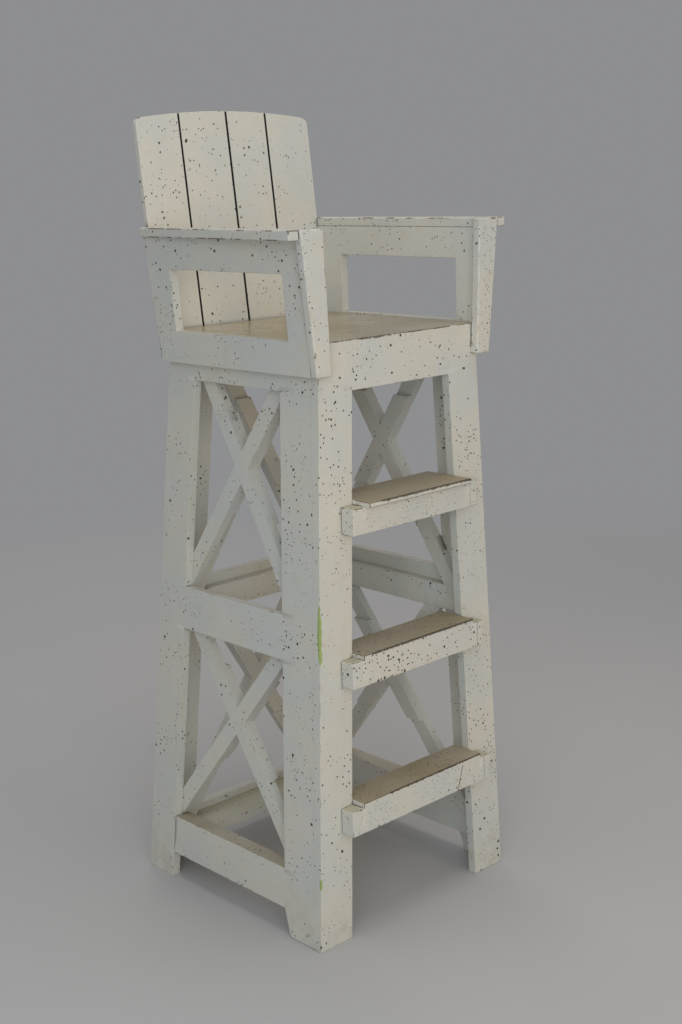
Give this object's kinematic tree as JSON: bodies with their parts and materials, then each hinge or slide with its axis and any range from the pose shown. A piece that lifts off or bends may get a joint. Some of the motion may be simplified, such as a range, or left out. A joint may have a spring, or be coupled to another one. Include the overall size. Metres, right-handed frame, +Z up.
{
  "type": "wooden lifeguard chair",
  "caption": "Tall white-painted wooden lifeguard chair with cross braces, front steps, flared arms and a slatted back.",
  "frame": {"origin": "on the floor, under the middle of the whole chair, from the lowest step to the rear feet", "axes": "+Z up; the steps and the open front of the seat face -Y; +X is across the chair, to the right when it is looked at from the rear"},
  "size_m": [0.5928, 0.611, 1.656],
  "materials": {
    "white_paint": "ivory gloss paint on wood, spattered with small dark specks",
    "worn_paint": "ivory paint worn and soiled to tan where it is stepped or sat on"
  },
  "bodies": {
    "root": {"left_front_leg_face": "white_paint", "left_front_leg_side": "white_paint", "right_front_leg_face": "white_paint", "right_front_leg_side": "white_paint", "left_rear_leg_side": "white_paint", "left_rear_leg_back": "white_paint", "right_rear_leg_side": "white_paint", "right_rear_leg_back": "white_paint", "left_top_rail": "white_paint", "left_mid_rail": "white_paint", "left_mid_cleat": "white_paint", "left_bottom_rail": "white_paint", "right_top_rail": "white_paint", "right_mid_rail": "white_paint", "right_mid_cleat": "white_paint", "right_bottom_rail": "white_paint", "rear_top_rail": "white_paint", "rear_mid_rail": "white_paint", "rear_mid_cleat": "white_paint", "rear_bottom_rail": "white_paint", "rear_ledge": "worn_paint", "left_upper_cross": "white_paint", "left_lower_cross": "white_paint", "right_upper_cross": "white_paint", "right_lower_cross": "white_paint", "rear_upper_cross": "white_paint", "rear_lower_cross": "white_paint", "step_box_1": "white_paint", "step_box_2": "white_paint", "step_box_3": "white_paint", "tread_1": "worn_paint", "tread_2": "worn_paint", "tread_3": "worn_paint", "apron": "white_paint", "seat": "worn_paint", "left_arm_frame": "white_paint", "right_arm_frame": "white_paint", "left_arm_post": "white_paint", "right_arm_post": "white_paint", "left_arm_cap": "white_paint", "right_arm_cap": "white_paint", "back_board_1": "white_paint", "back_board_2": "white_paint", "back_board_3": "white_paint", "back_board_4": "white_paint"}
  },
  "joints": []
}
